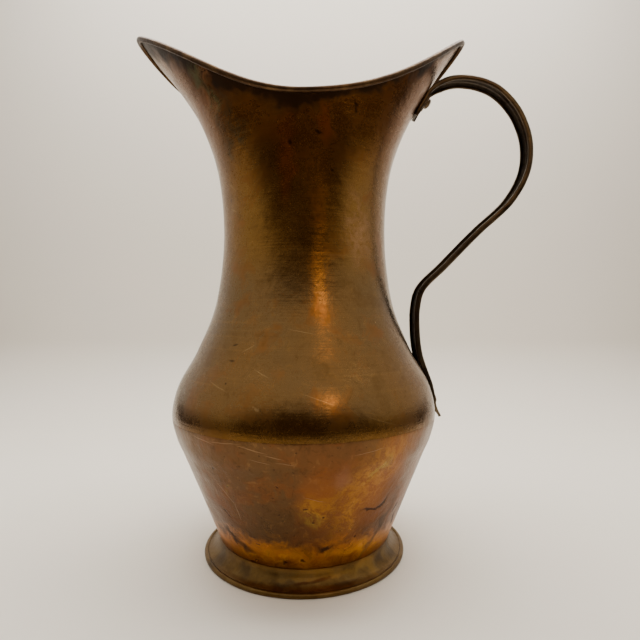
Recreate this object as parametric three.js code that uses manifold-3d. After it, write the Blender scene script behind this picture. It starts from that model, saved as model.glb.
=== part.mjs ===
// A tall copper and brass water jug: a flared saddle-cut mouth, a slim neck, a round shoulder,
// a tapering lower body on a flared foot, and a channel handle riveted on at both ends.
// Millimetres, +Z up. The spout points to -X and the handle is on +X.

import * as THREE from 'three';
import { mergeVertices } from 'three/addons/utils/BufferGeometryUtils.js';
import Module from 'manifold-3d';

const wasm = await Module();
wasm.setup();

// ---- Driving dimensions ----

const AXIS_X = -20.5; // x of the vessel's axis, so that x = 0 is the middle of the jug's whole length
const GAP = 0.3; // clearance kept between neighbouring pieces
const SHEET = 0.8; // thickness of the vessel sheet
const ROUND = 48; // facets around the vessel
const NEST = 1.2; // step in radius from one sheet's outside to the next sheet inside it
const CIRCLE = 2 * Math.PI;

// Outer outline of the vessel above its straight cone, as [radius, height], to above the mouth.
const CURVED_OUTLINE = [
  [81.6, 72], [85.3, 81], [87.8, 95], [83.6, 113], [71.7, 135], [59.8, 166],
  [54.9, 208], [58, 250], [69.3, 284], [86.1, 312], [102.4, 334], [116, 352],
];
const ROW_HEIGHT = 13; // spacing of the rows of facets up the neck and shoulder
const FLARE_START = 250; // above this height the rows fan out to follow the rim
const FLARE_ROWS = 6;

// Below, a straight cone from its bottom edge [radius, height] to the curved outline's first point.
const CONE_BOTTOM = [57.3, 11.5];

// Seam where the two bodies meet, at the widest part. A lip of the upper one tucks inside the lower.
const SEAM_Z = 92;
const LIP_BOTTOM = 87;
const LIP_STEP = 1.5; // step in radius from the lower body's outside to the lip's outside

// The flare leans slightly towards the spout, starting at LEAN_START.
const LEAN = 2.2;
const LEAN_START = 285;
const LEAN_FULL = 331;

// Saddle-shaped mouth: the rim climbs from RIM_LOW at the two sides to RIM_LOW + RIM_CLIMB at both
// tips. The climb bulges a little on the spout side and sags a little on the handle side.
const RIM_LOW = 281;
const RIM_CLIMB = 62.5;
const SPOUT_BULGE = 0.2;
const BACK_SAG = 0.34;
const TIP_ROUND = 0.09; // rounds the two tips

// Edges rolled outwards over a wire, in a loop that ends ROLL_END degrees round it.
const RIM_BEAD = 1.8;
const RIM_ROLL_END = -113;
const FOOT_BEAD = 1.6;
const FOOT_FLAT = 0.2; // depth worn off the underside of the foot's rolled edge
const FOOT_ROLL_END = -150;

// Foot: a collar inside the cone and a flared skirt with a rolled edge.
const FOOT_RADIUS = 67.6;
const SKIRT_ARC = 8.7; // radius of the skirt's concave flare
const SKIRT_END = 262; // angle on the flare at which it meets the rolled edge, in degrees
const FOOT_ROLL_START = 138; // the same place as an angle on the rolled edge
const COLLAR_TOP = 17;
const BASE_DOME = 3; // rise of the base disc at its middle

// Handle: a channel bent from sheet, open towards the body. Its back line is [x, z].
const HANDLE_LINE = [
  [92.5, 318.3], [108.5, 321.6], [131, 315.6], [147, 299.5], [155.2, 279], [154.6, 257],
  [143.5, 235], [120, 212.5], [97, 189], [82.5, 174.2], [79.3, 163], [79.1, 146],
  [81, 131], [87, 116.5],
];
const HANDLE_STEPS = 60;
const CHANNEL = { width: 10.8, depth: 5.5, sheet: 1.1, crown: 0.5, corner: 1.6 };
const TAB_SHEET = 1.5;
const TAB_CLEARANCE = 0.5; // from the vessel's faceted wall
const UPPER_TAB = { top: 314.5, bottom: 293, width: 13 };
const LOWER_TAB = { top: 121, bottom: 95, width: 13, tip: [94.6, 87.6], tipWidth: 1.6 };

// Rivets: height on the body, shank, head, and the room between wall and burr that the curve needs.
const UPPER_RIVET = { z: 305, shank: 1.9, head: 3.6, rise: 2.1, burrRoom: 0.5 };
const LOWER_RIVET = { z: 100, shank: 1.9, head: 3.3, rise: 1.3, burrRoom: 1 };
const TAIL_HEAD = 2.9;
const TAIL_RISE = 1.2;
const ROVE = { side: 9.6, thick: 1.1 };
const BURR = { radius: 4.2, thick: 1 };
const RIVET_FACETS = 20;

// ---- Materials ----

const metal = (color, roughness) => new THREE.MeshStandardMaterial({ color, roughness, metalness: 1 });
const agedBrass = metal(0x8a5f2c, 0.42);
const copper = metal(0x9c5a34, 0.4);
const footBrass = metal(0x7d6232, 0.5);
const blackenedBrass = metal(0x2b2118, 0.55);
const iron = metal(0x3c3a38, 0.7);
const solder = metal(0x8f8c86, 0.6);

// ---- Joining and cutting ----

function toSolid(geometry, matrix = new THREE.Matrix4()) {
  const bare = geometry.clone().applyMatrix4(matrix);
  bare.deleteAttribute('normal');
  bare.deleteAttribute('uv');
  const merged = mergeVertices(bare, 1e-4);
  return new wasm.Manifold(new wasm.Mesh({
    numProp: 3,
    vertProperties: new Float32Array(merged.attributes.position.array),
    triVerts: new Uint32Array(merged.index.array),
  }));
}

function toGeometry(solid) {
  const mesh = solid.getMesh();
  const geometry = new THREE.BufferGeometry();
  geometry.setAttribute('position', new THREE.BufferAttribute(mesh.vertProperties, 3));
  geometry.setIndex(new THREE.BufferAttribute(mesh.triVerts, 1));
  geometry.computeVertexNormals();
  return geometry;
}

// ---- Outline of the vessel ----

const curvedOutline = new THREE.SplineCurve(CURVED_OUTLINE.map(([r, z]) => new THREE.Vector2(r, z)));
const [CONE_TOP_RADIUS, CONE_TOP] = CURVED_OUTLINE[0];
const OUTLINE_TOP = CURVED_OUTLINE.at(-1)[1];

// Outer radius at a height, found by halving along the outline.
function outerRadius(z) {
  if (z <= CONE_TOP) {
    return THREE.MathUtils.mapLinear(z, CONE_BOTTOM[1], CONE_TOP, CONE_BOTTOM[0], CONE_TOP_RADIUS);
  }
  let low = 0;
  let high = 1;
  for (let i = 0; i < 40; i += 1) {
    const middle = (low + high) / 2;
    if (curvedOutline.getPoint(middle).y < z) low = middle;
    else high = middle;
  }
  return curvedOutline.getPoint(low).x;
}

function lean(z) {
  const t = THREE.MathUtils.clamp((z - LEAN_START) / (LEAN_FULL - LEAN_START), 0, 1);
  return LEAN * t * t;
}

// Unit normal of the outline, pointing out of the vessel, as [along radius, along z].
function outwardNormal(z) {
  const slope = outerRadius(z + 0.5) - outerRadius(z - 0.5);
  const length = Math.hypot(1, slope);
  return [1 / length, -slope / length];
}

// A point at a distance outside the outer surface, on the handle side, as a Vector2 of x and z.
function besideHandleSide(z, distance) {
  const [nr, nz] = outwardNormal(z);
  return new THREE.Vector2(outerRadius(z) - lean(z) + nr * distance, z + nz * distance);
}

// ---- Turned pieces ----

// Closed ring or disc from a closed outline of [radius, height] points, anticlockwise.
function turned(outline, facets = ROUND) {
  const points = outline.map(([r, z]) => new THREE.Vector2(r, z));
  const geometry = new THREE.LatheGeometry(points, facets);
  geometry.rotateX(Math.PI / 2);
  return geometry;
}

const closed = (outline) => [...outline, outline[0]];

// Points on an arc about a centre, angles in degrees.
function arc([r, z], radius, from, to, steps) {
  const points = [];
  for (let i = 0; i <= steps; i += 1) {
    const angle = THREE.MathUtils.degToRad(from + ((to - from) * i) / steps);
    points.push([r + radius * Math.cos(angle), z + radius * Math.sin(angle)]);
  }
  return points;
}

// ---- Rim and pieces that follow it ----

function rimHeight(angle) {
  const soft = (side) => Math.hypot(side, TIP_ROUND) - TIP_ROUND;
  const side = soft(Math.sin(angle)) / soft(1);
  const shape = Math.cos(angle) > 0 ? -BACK_SAG : SPOUT_BULGE * (1 - side);
  return RIM_LOW + RIM_CLIMB * (1 - side) * (1 + shape * side);
}

// A point on the wall at an angle around the vessel, at a distance outside the outer surface.
function wallPoint(angle, z, distance) {
  const [nr, nz] = outwardNormal(z);
  const radius = outerRadius(z) + nr * distance;
  return new THREE.Vector3(radius * Math.cos(angle) - lean(z), radius * Math.sin(angle), z + nz * distance);
}

// Places points beside the rim: out from the wall, and up across the rim at right angles to it.
function besideRim(angle, points) {
  const rim = (a) => wallPoint(a, rimHeight(a), 0);
  const along = rim(angle + 0.01).sub(rim(angle - 0.01)).normalize();
  const out = wallPoint(angle, rimHeight(angle), 1).sub(rim(angle));
  const up = out.clone().cross(along).normalize();
  return points.map(([o, u]) => rim(angle).addScaledVector(out, o).addScaledVector(up, u));
}

// A ring around the vessel from a closed section that changes with the angle.
function ringOfSections(sectionAt) {
  const count = sectionAt(0).length;
  const flat = Array.from({ length: count }, () => new THREE.Vector2(1, 0));
  const ring = new THREE.LatheGeometry(flat, ROUND);
  for (let i = 0; i <= ROUND; i += 1) {
    sectionAt(((i % ROUND) * CIRCLE) / ROUND).forEach((point, j) => {
      ring.attributes.position.setXYZ(i * count + j, point.x, point.y, point.z);
    });
  }
  return ring;
}

// ---- Rivets ----

// Frame of a rivet: z axis along the outward normal, origin on the outer surface.
function rivetMatrix(rivet) {
  const [nr, nz] = outwardNormal(rivet.z);
  const seat = besideHandleSide(rivet.z, 0);
  const matrix = new THREE.Matrix4().makeRotationY(Math.atan2(nr, nz));
  return matrix.setPosition(seat.x, 0, seat.y);
}

function rivetHole(rivet) {
  const hole = new THREE.CylinderGeometry(rivet.shank + GAP, rivet.shank + GAP, 40, RIVET_FACETS);
  hole.rotateX(Math.PI / 2);
  return toSolid(hole, rivetMatrix(rivet));
}

const rivetHoles = [UPPER_RIVET, LOWER_RIVET].map(rivetHole);
const drilled = (solid) => rivetHoles.reduce((rest, hole) => rest.subtract(hole), solid);

// Heights along a rivet's axis, from the vessel's outer surface.
const burrTop = (rivet) => -(SHEET + rivet.burrRoom);
const tailFace = (rivet) => burrTop(rivet) - BURR.thick - GAP;
const tabTop = TAB_CLEARANCE + TAB_SHEET;
const roveBottom = tabTop + GAP;

function rivetGeometry(rivet, headFace) {
  const dome = (radius, rise, face, sign) => [1, 0.92, 0.7, 0.38, 0].map((share) => (
    [radius * share, face + sign * rise * Math.sqrt(1 - share * share)]));
  const tailEnd = tailFace(rivet);
  const tail = dome(TAIL_HEAD, TAIL_RISE, tailEnd, -1).reverse();
  const head = dome(rivet.head, rivet.rise, headFace, 1);
  return turned([...tail, [rivet.shank, tailEnd], [rivet.shank, headFace], ...head], RIVET_FACETS);
}

// Round washer inside the vessel, under a rivet's tail.
function burr(rivet) {
  const hole = rivet.shank + GAP;
  const top = burrTop(rivet);
  const bottom = top - BURR.thick;
  return turned(closed([[hole, bottom], [BURR.radius, bottom], [BURR.radius, top], [hole, top]]), RIVET_FACETS);
}

// Square plate under the upper rivet's head.
function rove() {
  const plate = new THREE.BoxGeometry(ROVE.side, ROVE.side, ROVE.thick);
  plate.translate(0, 0, roveBottom + ROVE.thick / 2);
  const hole = new THREE.CylinderGeometry(UPPER_RIVET.shank + GAP, UPPER_RIVET.shank + GAP, 40, RIVET_FACETS);
  hole.rotateX(Math.PI / 2);
  return toGeometry(toSolid(plate).subtract(toSolid(hole)));
}

// ---- Vessel pieces ----

// Evenly spaced heights between two heights, about a row apart.
function rows(from, to) {
  const count = Math.ceil((to - from) / ROW_HEIGHT);
  return Array.from({ length: count + 1 }, (_, i) => THREE.MathUtils.lerp(from, to, i / count));
}

// Heights of the upper body's rows of facets, from a bottom height up to a top height.
function upperRows(bottom, top) {
  const fan = Array.from({ length: FLARE_ROWS }, (_, i) => (
    THREE.MathUtils.lerp(FLARE_START, top, (i + 1) / FLARE_ROWS)));
  return [...rows(bottom, FLARE_START), ...fan];
}

// Neck and shoulder. Its section runs up the outside, over the wire, back round the roll, down the
// inside, and round the lip that tucks into the lower body.
function upperBody() {
  const centre = [RIM_BEAD - SHEET, 0];
  const roll = [
    ...arc(centre, RIM_BEAD - SHEET, 180, RIM_ROLL_END, 8), ...arc(centre, RIM_BEAD, RIM_ROLL_END, 180, 9),
  ];
  const bottom = SEAM_Z + GAP;
  const step = 2;
  return ringOfSections((angle) => {
    const heights = upperRows(bottom, rimHeight(angle)).slice(0, -1);
    const outside = heights.map((z) => wallPoint(angle, z, 0));
    const inside = heights.slice(1).map((z) => wallPoint(angle, z, -SHEET)).reverse();
    const lip = [
      wallPoint(angle, bottom + step, -SHEET), wallPoint(angle, bottom - SHEET, -LIP_STEP - SHEET),
      wallPoint(angle, LIP_BOTTOM, -LIP_STEP - SHEET), wallPoint(angle, LIP_BOTTOM, -LIP_STEP),
      wallPoint(angle, bottom, -LIP_STEP),
    ];
    return closed([...outside, ...besideRim(angle, roll), ...inside, ...lip]);
  });
}

function rimWire() {
  const section = arc([RIM_BEAD - SHEET, 0], RIM_BEAD - SHEET - GAP, 0, 360, 8);
  return ringOfSections((angle) => besideRim(angle, section));
}

function lowerBody() {
  const step = 5;
  const heights = [CONE_BOTTOM[1]];
  for (let z = CONE_TOP; z < SEAM_Z; z += step) heights.push(z);
  heights.push(SEAM_Z);
  const wall = (distance) => heights.map((z) => {
    const [nr, nz] = outwardNormal(z);
    const level = z === CONE_BOTTOM[1] || z === SEAM_Z;
    return [outerRadius(z) + nr * distance, level ? z : z + nz * distance];
  });
  return turned(closed([...wall(0), ...wall(-SHEET).reverse()]));
}

// The sheet comes down the skirt, passes over the wire and rolls in underneath it.
function footRing() {
  const shoulder = CONE_BOTTOM[1] - GAP;
  const collar = (z) => outerRadius(z) - NEST;
  const skirtCentre = [CONE_BOTTOM[0] + SKIRT_ARC, shoulder];
  const beadCentre = [FOOT_RADIUS - FOOT_BEAD, FOOT_BEAD - FOOT_FLAT];
  const onFloor = ([r, z]) => [r, Math.max(z, 0)];
  return turned(closed([
    [collar(COLLAR_TOP), COLLAR_TOP], [collar(COLLAR_TOP) - SHEET, COLLAR_TOP],
    [collar(shoulder) - SHEET, shoulder - SHEET],
    ...arc(skirtCentre, SKIRT_ARC + SHEET, 188, SKIRT_END, 6),
    ...arc(beadCentre, FOOT_BEAD - SHEET, FOOT_ROLL_START, FOOT_ROLL_END, 8),
    ...arc(beadCentre, FOOT_BEAD, FOOT_ROLL_END, FOOT_ROLL_START, 10).map(onFloor),
    ...arc(skirtCentre, SKIRT_ARC, SKIRT_END - 4, 180, 6),
    [collar(shoulder), shoulder],
  ]));
}

function footWire() {
  const wire = FOOT_BEAD - SHEET - GAP;
  return turned(arc([FOOT_RADIUS - FOOT_BEAD, FOOT_BEAD - FOOT_FLAT], wire, 0, 360, 8));
}

// Height of the base disc's underside, which crowns upwards.
const discBottom = (share) => COLLAR_TOP + GAP + BASE_DOME * (1 - share * share);
const discRadius = outerRadius(COLLAR_TOP + GAP) - NEST;

function baseDisc() {
  const shares = [0, 0.35, 0.65, 0.85, 1];
  const under = shares.map((share) => [discRadius * share, discBottom(share)]);
  const over = shares.map((share) => [discRadius * share, discBottom(share) + SHEET]).reverse();
  return turned([...under, ...over]);
}

// Fillet of braze under the edge of the lip.
function shoulderBraze() {
  const top = LIP_BOTTOM - GAP;
  const bottom = top - 2.4;
  const inside = (z) => outerRadius(z) - LIP_STEP;
  return turned(closed([
    [inside(bottom), bottom], [inside(top), top], [inside(top) - SHEET, top],
  ]));
}

// Fillet of solder above the base disc, against the cone.
function baseSolder() {
  const bottom = discBottom(1) + SHEET + GAP;
  const top = bottom + 2;
  return turned(closed([
    [discRadius - 2.6, bottom + 0.5], [discRadius, bottom], [outerRadius(top) - NEST, top],
  ]));
}

// Fillet of solder under the base disc, against the foot's collar.
function footSolder() {
  const top = COLLAR_TOP - 0.1;
  const collarInside = (z) => outerRadius(z) - NEST - SHEET - GAP;
  return turned(closed([
    [collarInside(top - 2), top - 2], [collarInside(top), top], [collarInside(top) - 2, top],
  ]));
}

// ---- Handle ----

// Section of the channel: x across its width, y from its back towards the body.
function channelSection() {
  const { width, depth, sheet, crown, corner } = CHANNEL;
  const half = width / 2;
  const inside = half - sheet;
  const section = new THREE.Shape();
  section.moveTo(-half, depth);
  section.lineTo(-half, corner + crown);
  section.quadraticCurveTo(-half, crown, -half + corner, crown * 0.6);
  section.quadraticCurveTo(0, -crown * 0.6, half - corner, crown * 0.6);
  section.quadraticCurveTo(half, crown, half, corner + crown);
  section.lineTo(half, depth);
  section.lineTo(inside, depth);
  section.lineTo(inside, corner + crown);
  section.lineTo(inside - 0.8, sheet + crown);
  section.lineTo(-inside + 0.8, sheet + crown);
  section.lineTo(-inside, corner + crown);
  section.lineTo(-inside, depth);
  return section;
}

// Solid of a side outline in x and z, as wide as the handle's tab.
function tabSolid(outline, width) {
  const geometry = new THREE.ExtrudeGeometry(new THREE.Shape(outline), { depth: width, bevelEnabled: false });
  geometry.rotateX(Math.PI / 2);
  geometry.translate(0, width / 2, 0);
  return toSolid(geometry);
}

// Points beside the body between two heights, at a distance from it.
function alongBody(from, to, distance, steps = 5) {
  const points = [];
  for (let i = 0; i <= steps; i += 1) {
    points.push(besideHandleSide(from + ((to - from) * i) / steps, distance));
  }
  return points;
}

function upperTab() {
  const { top, bottom, width } = UPPER_TAB;
  const [startX, startZ] = HANDLE_LINE[0];
  return tabSolid([
    ...alongBody(top, bottom, TAB_CLEARANCE),
    ...alongBody(bottom, top - 3, TAB_CLEARANCE + TAB_SHEET),
    new THREE.Vector2(startX + 3, startZ - CHANNEL.depth), new THREE.Vector2(startX + 2, startZ + 0.4),
    new THREE.Vector2(startX - 1, startZ),
  ], width);
}

// The lower tab lies on the shoulder, and its pointed tip stands off it.
function lowerTab() {
  const { top, bottom, width, tip, tipWidth } = LOWER_TAB;
  const [tipX, tipZ] = tip;
  const side = tabSolid([
    ...alongBody(top, bottom, TAB_CLEARANCE), new THREE.Vector2(tipX - 1.2, tipZ + 0.6),
    new THREE.Vector2(tipX, tipZ), ...alongBody(bottom, top, TAB_CLEARANCE + TAB_SHEET),
  ], width);
  const half = width / 2;
  const front = new THREE.Shape([
    new THREE.Vector2(-half, top + 5), new THREE.Vector2(-half, bottom + 2),
    new THREE.Vector2(-tipWidth / 2, tipZ - 0.5), new THREE.Vector2(tipWidth / 2, tipZ - 0.5),
    new THREE.Vector2(half, bottom + 2), new THREE.Vector2(half, top + 5),
  ]);
  const leaf = new THREE.ExtrudeGeometry(front, { depth: 200, bevelEnabled: false });
  leaf.rotateX(Math.PI / 2);
  leaf.rotateZ(Math.PI / 2);
  return side.intersect(toSolid(leaf));
}

function handle() {
  const line = new THREE.CatmullRomCurve3(HANDLE_LINE.map(([x, z]) => new THREE.Vector3(x, 0, z)));
  const channel = new THREE.ExtrudeGeometry(channelSection(), {
    steps: HANDLE_STEPS, curveSegments: 3, extrudePath: line,
  });
  const room = ringOfSections((angle) => {
    const wall = upperRows(CONE_TOP, OUTLINE_TOP).map((z) => wallPoint(angle, z, TAB_CLEARANCE));
    const axisAt = (point) => new THREE.Vector3(-lean(point.z), 0, point.z);
    return [axisAt(wall[0]), ...wall, axisAt(wall.at(-1))];
  });
  return drilled(toSolid(channel).add(upperTab()).add(lowerTab()).subtract(toSolid(room)));
}

// ---- Assembly ----

const vessel = new THREE.Group();
vessel.position.x = AXIS_X;

function place(name, geometry, material, matrix) {
  const mesh = new THREE.Mesh(geometry, material);
  mesh.name = name;
  if (matrix) mesh.applyMatrix4(matrix);
  vessel.add(mesh);
}

const upperMatrix = rivetMatrix(UPPER_RIVET);
const lowerMatrix = rivetMatrix(LOWER_RIVET);

place('upper_body', toGeometry(drilled(toSolid(upperBody()))), agedBrass);
place('lower_body', lowerBody(), copper);
place('shoulder_seam_braze', shoulderBraze(), solder);
place('base_disc', baseDisc(), copper);
place('base_seam_solder', baseSolder(), solder);
place('foot_ring', footRing(), footBrass);
place('foot_seam_solder', footSolder(), solder);
place('rim_wire', rimWire(), iron);
place('foot_wire', footWire(), iron);
place('handle', toGeometry(handle()), blackenedBrass);
place('upper_rivet_rove', rove(), blackenedBrass, upperMatrix);
place('upper_rivet', rivetGeometry(UPPER_RIVET, roveBottom + ROVE.thick + GAP), blackenedBrass, upperMatrix);
place('upper_rivet_burr', burr(UPPER_RIVET), agedBrass, upperMatrix);
place('lower_rivet', rivetGeometry(LOWER_RIVET, tabTop + GAP), blackenedBrass, lowerMatrix);
place('lower_rivet_burr', burr(LOWER_RIVET), agedBrass, lowerMatrix);

const jug = new THREE.Group();
jug.add(vessel);

export default jug;
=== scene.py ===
import math
from bisect import bisect_left

import bpy
from mathutils import Matrix, Vector, noise

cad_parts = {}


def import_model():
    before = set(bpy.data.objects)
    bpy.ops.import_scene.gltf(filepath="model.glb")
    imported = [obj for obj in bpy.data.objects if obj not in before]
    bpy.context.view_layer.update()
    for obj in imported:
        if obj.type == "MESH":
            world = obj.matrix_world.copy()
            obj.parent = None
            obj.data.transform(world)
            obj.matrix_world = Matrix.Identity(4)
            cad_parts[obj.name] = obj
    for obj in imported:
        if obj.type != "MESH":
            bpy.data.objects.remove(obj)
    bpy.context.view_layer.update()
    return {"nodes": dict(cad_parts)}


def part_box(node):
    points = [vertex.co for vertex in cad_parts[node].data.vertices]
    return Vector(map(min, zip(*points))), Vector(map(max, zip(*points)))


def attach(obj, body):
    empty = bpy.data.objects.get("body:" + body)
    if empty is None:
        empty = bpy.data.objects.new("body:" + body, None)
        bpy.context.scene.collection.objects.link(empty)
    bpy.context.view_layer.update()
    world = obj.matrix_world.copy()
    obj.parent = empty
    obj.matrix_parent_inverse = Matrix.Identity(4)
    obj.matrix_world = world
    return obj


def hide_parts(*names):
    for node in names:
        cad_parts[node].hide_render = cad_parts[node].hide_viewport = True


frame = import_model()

MM = 0.001


def node_box(name):
    """Lowest and highest corner of a CAD node, in millimetres."""
    return [[value / MM for value in corner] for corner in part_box(name)]


# ---- Sizes taken from the frame ----

FOOT_LOW, FOOT_HIGH = node_box("foot_ring")
AXIS_X = (FOOT_LOW[0] + FOOT_HIGH[0]) / 2
FOOT_RADIUS = (FOOT_HIGH[0] - FOOT_LOW[0]) / 2
COLLAR_TOP = FOOT_HIGH[2]
CONE_BOTTOM_Z = node_box("lower_body")[0][2]
SEAM_Z = node_box("lower_body")[1][2]
LIP_BOTTOM = node_box("upper_body")[0][2]

# ---- Sizes that repeat the CAD model, or give the visual pieces a shape inside it ----

GAP = 0.3  # clearance between neighbouring pieces
TOUCHING = 0.03  # clearance where two pieces are seen to touch
SHEET = 0.8
NEST = 1.2
LIP_STEP = 1.5
CONE_BOTTOM_RADIUS = 57.3
CURVED_OUTLINE = [
    (81.6, 72), (85.3, 81), (87.8, 95), (83.6, 113), (71.7, 135), (59.8, 166),
    (54.9, 208), (58, 250), (69.3, 284), (86.1, 312), (102.4, 334), (116, 352),
]
FLARE_START = 250
LEAN = 2.2
LEAN_START = 285
LEAN_FULL = 331
RIM_LOW = 281
RIM_CLIMB = 62.5
SPOUT_BULGE = 0.2
BACK_SAG = 0.34
TIP_ROUND = 0.09
RIM_BEAD = 1.8
RIM_ROLL_END = -113
FOOT_BEAD = 1.6
FOOT_FLAT = 0.2
FOOT_ROLL_START = 138
FOOT_ROLL_END = -150
SKIRT_ARC = 8.7
SKIRT_END = 262
BASE_DOME = 3

HANDLE_LINE = [
    (92.5, 318.3), (108.5, 321.6), (131, 315.6), (147, 299.5), (155.2, 279), (154.6, 257),
    (143.5, 235), (120, 212.5), (97, 189), (82.5, 174.2), (79.3, 163), (79.1, 146),
    (81, 131), (85.2, 118.5),
]
CHANNEL_WIDTH = 10.8
CHANNEL_DEPTH = 5.5
CHANNEL_SHEET = 1.1
NEAR_DEPTH = 3.9  # depth of the channel's side that faces the camera
TAB_DEPTH = 2.5
HANDLE_BEAD = 0.5  # how far the channel's edges are folded in
HANDLE_INSET = 0.32  # keeps the handle's rounded back inside the CAD model's
TAB_WIDTH = 13
TAB_SHEET = 1.5
TAB_CLEARANCE = 0.5
UPPER_TAB = (294, 312)  # heights of the part that lies on the body
LOWER_GAPS = ((110, 3.3), (104, 2.6), (100, 2.1), (96, 2.5))  # height, and from the wall to the back
HANDLE_TIP = (94.3, 88.4)

UPPER_RIVET = {"z": 305, "shank": 1.9, "head": 3.6, "rise": 2.1, "burr_room": 0.5}
LOWER_RIVET = {"z": 100, "shank": 1.9, "head": 3.3, "rise": 1.3, "burr_room": 1}
TAIL_HEAD = 2.9
TAIL_RISE = 1.2
ROVE_SIDE = 9.6
ROVE_THICK = 1.1
BURR_RADIUS = 4.2
BURR_THICK = 1

# ---- Fineness of the meshes ----

AROUND = 288  # sections around the vessel
WALL_STEP = 2.2  # height of a row of faces
FLARE_ROWS = 44
TIP_SWELL = 0.12  # how much thicker the rolled rim gets towards its two tips
TIP_WIDTH = 0.16  # sine of the angle over which it swells


# ---- Outline of the vessel ----

def spline_point(points, t):
    """A point on the uniform Catmull-Rom spline that the CAD model uses."""
    last = len(points) - 1
    place = last * t
    i = min(int(place), last - 1)
    w = place - i
    before, start = points[max(i - 1, 0)], points[i]
    end, after = points[i + 1], points[min(i + 2, last)]
    result = []
    for a, b, c, d in zip(before, start, end, after):
        v0 = (c - a) / 2
        v1 = (d - b) / 2
        result.append((2 * b - 2 * c + v0 + v1) * w**3 + (3 * c - 3 * b - 2 * v0 - v1) * w * w + v0 * w + b)
    return result


OUTLINE = [spline_point(CURVED_OUTLINE, i / 800) for i in range(801)]
OUTLINE_HEIGHTS = [z for _, z in OUTLINE]
CONE_TOP_RADIUS, CONE_TOP_Z = CURVED_OUTLINE[0]


def outer_radius(z):
    if z <= CONE_TOP_Z:
        share = (z - CONE_BOTTOM_Z) / (CONE_TOP_Z - CONE_BOTTOM_Z)
        return CONE_BOTTOM_RADIUS + share * (CONE_TOP_RADIUS - CONE_BOTTOM_RADIUS)
    i = min(max(bisect_left(OUTLINE_HEIGHTS, z), 1), len(OUTLINE) - 1)
    (r0, z0), (r1, z1) = OUTLINE[i - 1], OUTLINE[i]
    return r0 + (r1 - r0) * (z - z0) / (z1 - z0)


def lean(z):
    t = min(max((z - LEAN_START) / (LEAN_FULL - LEAN_START), 0), 1)
    return LEAN * t * t


def outward_normal(z):
    slope = outer_radius(z + 0.5) - outer_radius(z - 0.5)
    length = math.hypot(1, slope)
    return 1 / length, -slope / length


# Shallow dents from use: (angle, height, radius, depth).
DENTS = [
    (-132, 86, 7, 0.35), (-118, 83, 9, 0.3), (-104, 85, 6, 0.3), (-97, 80, 5, 0.25), (-58, 66, 12, 0.35),
    (-74, 40, 9, 0.3), (-121, 52, 10, 0.3), (-140, 30, 8, 0.3), (-146, 225, 12, 0.35), (-100, 262, 12, 0.4),
    (-70, 190, 16, 0.3), (-120, 160, 18, 0.35), (-52, 130, 14, 0.3), (40, 70, 12, 0.4), (80, 200, 15, 0.4),
    (130, 60, 12, 0.35), (160, 120, 16, 0.35), (110, 270, 12, 0.4), (20, 250, 12, 0.35), (60, 30, 9, 0.3),
]


DENT_REACH = 2.2  # radii beyond which a dent is too shallow to count
LONG_WAVES = 0.42  # most that the wall wanders over a hand's width
SHORT_WAVES = 0.16  # and over a finger's width


def on_cylinder(angle, z, radius=70):
    """A point at an angle in radians, a height and a radius, which if not given is about the wall's."""
    return Vector((radius * math.cos(angle), radius * math.sin(angle), z))


def wobble(x, y, z):
    """Smooth noise from -1 to 1."""
    return noise.noise(Vector((x, y, z)))


# The wall fits the handle's tabs closely, so that the two don't touch and no slit shows.
TAB_PLACES = [on_cylinder(0, z) for z in (303, 102)]
TAB_REACH = 16
DENT_PLACES = [(on_cylinder(math.radians(a), z), size, depth) for a, z, size, depth in DENTS]


def hand_work(angle, z):
    """How far the wall stands inside its true shape, from hammering, wear and dents."""
    place = on_cylinder(angle, z)
    long = 0.5 + 0.5 * noise.noise(place * 0.018)
    middle = 0.5 + 0.5 * noise.noise(place * 0.05 + Vector((7, 3, 1)))
    depth = LONG_WAVES * long + SHORT_WAVES * middle
    for centre, size, most in DENT_PLACES:
        distance = (place - centre).length / size
        if distance < DENT_REACH:
            depth += most * math.exp(-distance * distance)
    for centre in TAB_PLACES:
        depth *= 1 - 0.9 * math.exp(-((place - centre).length / TAB_REACH) ** 2)
    return depth


def wall_point(angle, z, distance):
    nr, nz = outward_normal(z)
    inside = distance - hand_work(angle, z)
    radius = outer_radius(z) + nr * inside
    return Vector((radius * math.cos(angle) - lean(z), radius * math.sin(angle), z + nz * distance))


def level_point(angle, z, distance):
    """A point at an exact height, at a distance outside the outer surface measured level."""
    radius = outer_radius(z) + distance - hand_work(angle, z)
    return Vector((radius * math.cos(angle) - lean(z), radius * math.sin(angle), z))


def rim_height(angle):
    def soft(side):
        return math.hypot(side, TIP_ROUND) - TIP_ROUND

    side = soft(math.sin(angle)) / soft(1)
    shape = -BACK_SAG if math.cos(angle) > 0 else SPOUT_BULGE * (1 - side)
    return RIM_LOW + RIM_CLIMB * (1 - side) * (1 + shape * side)


def beside_rim(angle, points):
    """Places points beside the rim: out from the wall, and up across the rim at right angles to it."""
    def rim(a):
        return wall_point(a, rim_height(a), 0)

    along = (rim(angle + 0.01) - rim(angle - 0.01)).normalized()
    nr, nz = outward_normal(rim_height(angle))
    out = Vector((nr * math.cos(angle), nr * math.sin(angle), nz))
    up = out.cross(along).normalized()
    return [rim(angle) + out * o + up * u for o, u in points]


def arc(centre, radius, start, end, steps):
    points = []
    for i in range(steps + 1):
        angle = math.radians(start + (end - start) * i / steps)
        points.append((centre[0] + radius * math.cos(angle), centre[1] + radius * math.sin(angle)))
    return points


def spaced(start, end, step):
    """Evenly spaced values from start to end, about a step apart."""
    count = max(1, math.ceil(abs(end - start) / step))
    return [start + (end - start) * i / count for i in range(count + 1)]


# ---- Meshes ----

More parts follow.
